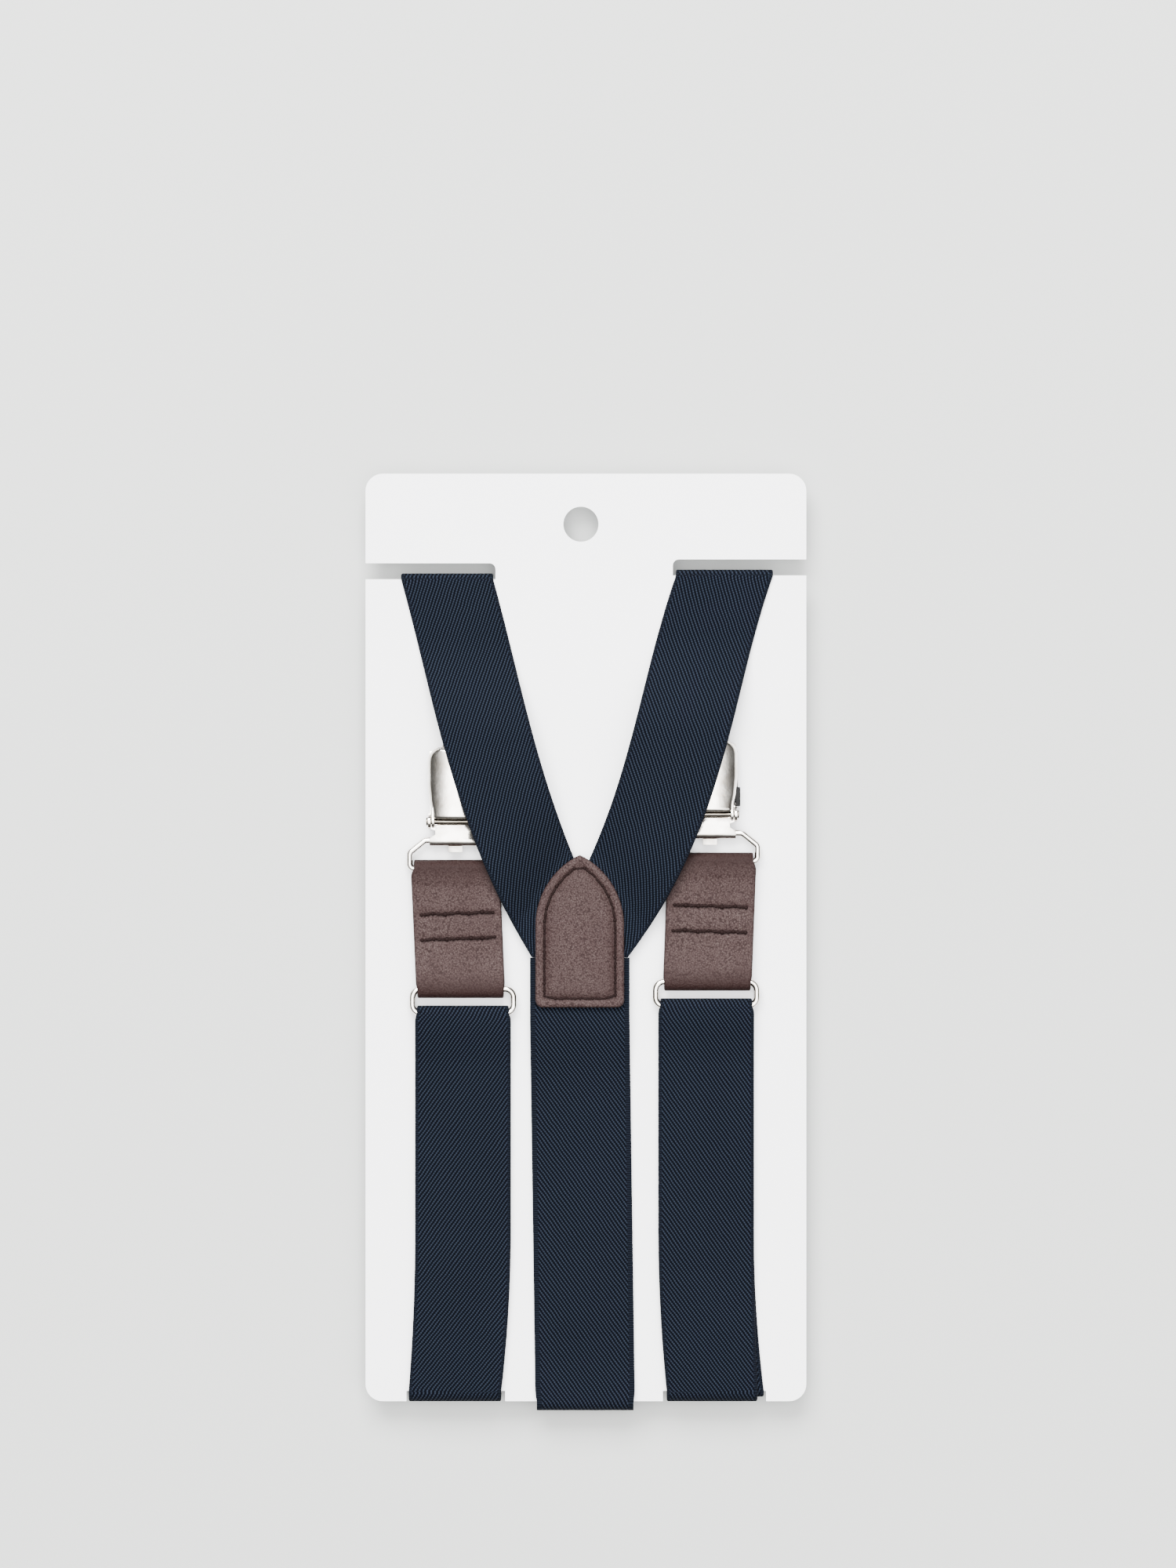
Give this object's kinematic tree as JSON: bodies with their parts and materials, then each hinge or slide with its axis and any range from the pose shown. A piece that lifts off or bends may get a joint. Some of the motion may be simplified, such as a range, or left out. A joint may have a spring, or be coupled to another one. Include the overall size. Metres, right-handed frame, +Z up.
{
  "type": "suspenders",
  "caption": "Y-back elastic suspenders with a leather yoke patch, leather tabs, wire rings and metal lever clips, wrapped round a blank white display card.",
  "frame": {"origin": "centre of the bounding box at its base, where the part lies on the table", "axes": "+X to the right across the card, +Y to the card's top edge, +Z up out of the card's front"},
  "size_m": [0.1152, 0.2448, 0.0162],
  "materials": {
    "card": "matt",
    "elastic": "ribbed",
    "leather": "fine grain",
    "thread": "twisted",
    "nickel": "bright",
    "pad": "matt"
  },
  "bodies": {
    "card": {"display_card": "card", "patch_front": "leather", "patch_back": "leather", "patch_stitching": "thread", "left_yoke_strap": "elastic", "right_yoke_strap": "elastic", "left_shoulder_strap": "elastic", "right_shoulder_strap": "elastic", "left_return_run": "elastic", "right_return_run": "elastic", "centre_strap": "elastic", "centre_fold_stitching": "thread", "left_ring": "nickel", "right_ring": "nickel", "left_tab": "leather", "right_tab": "leather", "left_tab_stitching": "thread", "right_tab_stitching": "thread", "left_bail": "nickel", "right_bail": "nickel", "left_clip_base": "nickel", "right_clip_base": "nickel", "left_clip_pin": "nickel", "right_clip_pin": "nickel", "left_lower_pad": "pad", "right_lower_pad": "pad"},
    "left_lever": {"left_clip_lever": "nickel"},
    "left_jaw": {"left_clip_jaw": "nickel", "left_upper_pad": "pad"},
    "left_span": {"left_yoke_span": "elastic"},
    "left_slide": {"left_adjuster": "nickel", "left_return_loop": "elastic", "left_loop_stitching": "thread"},
    "right_lever": {"right_clip_lever": "nickel"},
    "right_jaw": {"right_clip_jaw": "nickel", "right_upper_pad": "pad"},
    "right_span": {"right_yoke_span": "elastic"},
    "right_slide": {"right_adjuster": "nickel", "right_return_loop": "elastic", "right_loop_stitching": "thread"},
    "back_ring": {"back_ring": "nickel"},
    "back_tab": {"back_tab": "leather", "back_tab_stitching": "thread"},
    "back_bail": {"back_bail": "nickel"},
    "back_clip": {"back_clip_base": "nickel", "back_clip_pin": "nickel", "back_lower_pad": "pad"},
    "back_lever": {"back_clip_lever": "nickel"},
    "back_jaw": {"back_clip_jaw": "nickel", "back_upper_pad": "pad"}
  },
  "joints": [
    {"name": "left_lever_hinge", "type": "hinge", "parent": "card", "child": "left_lever", "pos_m": [-0.0341, 0.0315, 0.01175], "axis": [1, 0, 0], "range_deg": [0, 60]},
    {"name": "left_jaw_hinge", "type": "hinge", "parent": "card", "child": "left_jaw", "pos_m": [-0.0341, 0.0293, 0.00996], "axis": [1, 0, 0], "range_deg": [0, 8.5]},
    {"name": "left_span_lift", "type": "slide", "parent": "card", "child": "left_span", "axis": [0, 0, 1], "range_m": [0, 0.0212]},
    {"name": "left_adjuster_slide", "type": "slide", "parent": "card", "child": "left_slide", "axis": [0, 1, 0], "range_m": [-0.025, 0], "deforming": ["left_return_run"]},
    {"name": "right_lever_hinge", "type": "hinge", "parent": "card", "child": "right_lever", "pos_m": [0.0324, 0.0334, 0.01175], "axis": [1, 0, 0], "range_deg": [0, 60]},
    {"name": "right_jaw_hinge", "type": "hinge", "parent": "card", "child": "right_jaw", "pos_m": [0.0324, 0.0312, 0.00996], "axis": [1, 0, 0], "range_deg": [0, 8.5]},
    {"name": "right_span_lift", "type": "slide", "parent": "card", "child": "right_span", "axis": [0, 0, 1], "range_m": [0, 0.0212]},
    {"name": "right_adjuster_slide", "type": "slide", "parent": "card", "child": "right_slide", "axis": [0, 1, 0], "range_m": [-0.025, 0], "deforming": ["right_return_run"]},
    {"name": "back_ring_hinge", "type": "hinge", "parent": "card", "child": "back_ring", "pos_m": [-0.0016, -0.0185, 0.0046], "axis": [-1, 0, 0], "range_deg": [0, 60]},
    {"name": "back_tab_hinge", "type": "hinge", "parent": "back_ring", "child": "back_tab", "pos_m": [-0.0016, -0.0122, 0.0046], "axis": [-1, 0, 0], "range_deg": [0, 50]},
    {"name": "back_bail_hinge", "type": "hinge", "parent": "back_tab", "child": "back_bail", "pos_m": [-0.0016, 0.0192, 0.0046], "axis": [-1, 0, 0], "range_deg": [0, 40]},
    {"name": "back_clip_hinge", "type": "hinge", "parent": "back_bail", "child": "back_clip", "pos_m": [-0.0016, 0.0266, 0.0046], "axis": [-1, 0, 0], "range_deg": [0, 20]},
    {"name": "back_lever_hinge", "type": "hinge", "parent": "back_clip", "child": "back_lever", "pos_m": [-0.0016, 0.0315, 0.0031], "axis": [-1, 0, 0], "range_deg": [0, 75]},
    {"name": "back_jaw_hinge", "type": "hinge", "parent": "back_clip", "child": "back_jaw", "pos_m": [-0.0016, 0.0293, 0.00489], "axis": [-1, 0, 0], "range_deg": [0, 10.5]}
  ],
  "couplings": [
    {"joint": "left_jaw_hinge", "follows": "left_lever_hinge", "ratio": 0.1333},
    {"joint": "left_span_lift", "follows": "left_lever_hinge", "m_per_rad": 0.02},
    {"joint": "right_jaw_hinge", "follows": "right_lever_hinge", "ratio": 0.1333},
    {"joint": "right_span_lift", "follows": "right_lever_hinge", "m_per_rad": 0.02},
    {"joint": "back_jaw_hinge", "follows": "back_lever_hinge", "ratio": 0.1333}
  ]
}
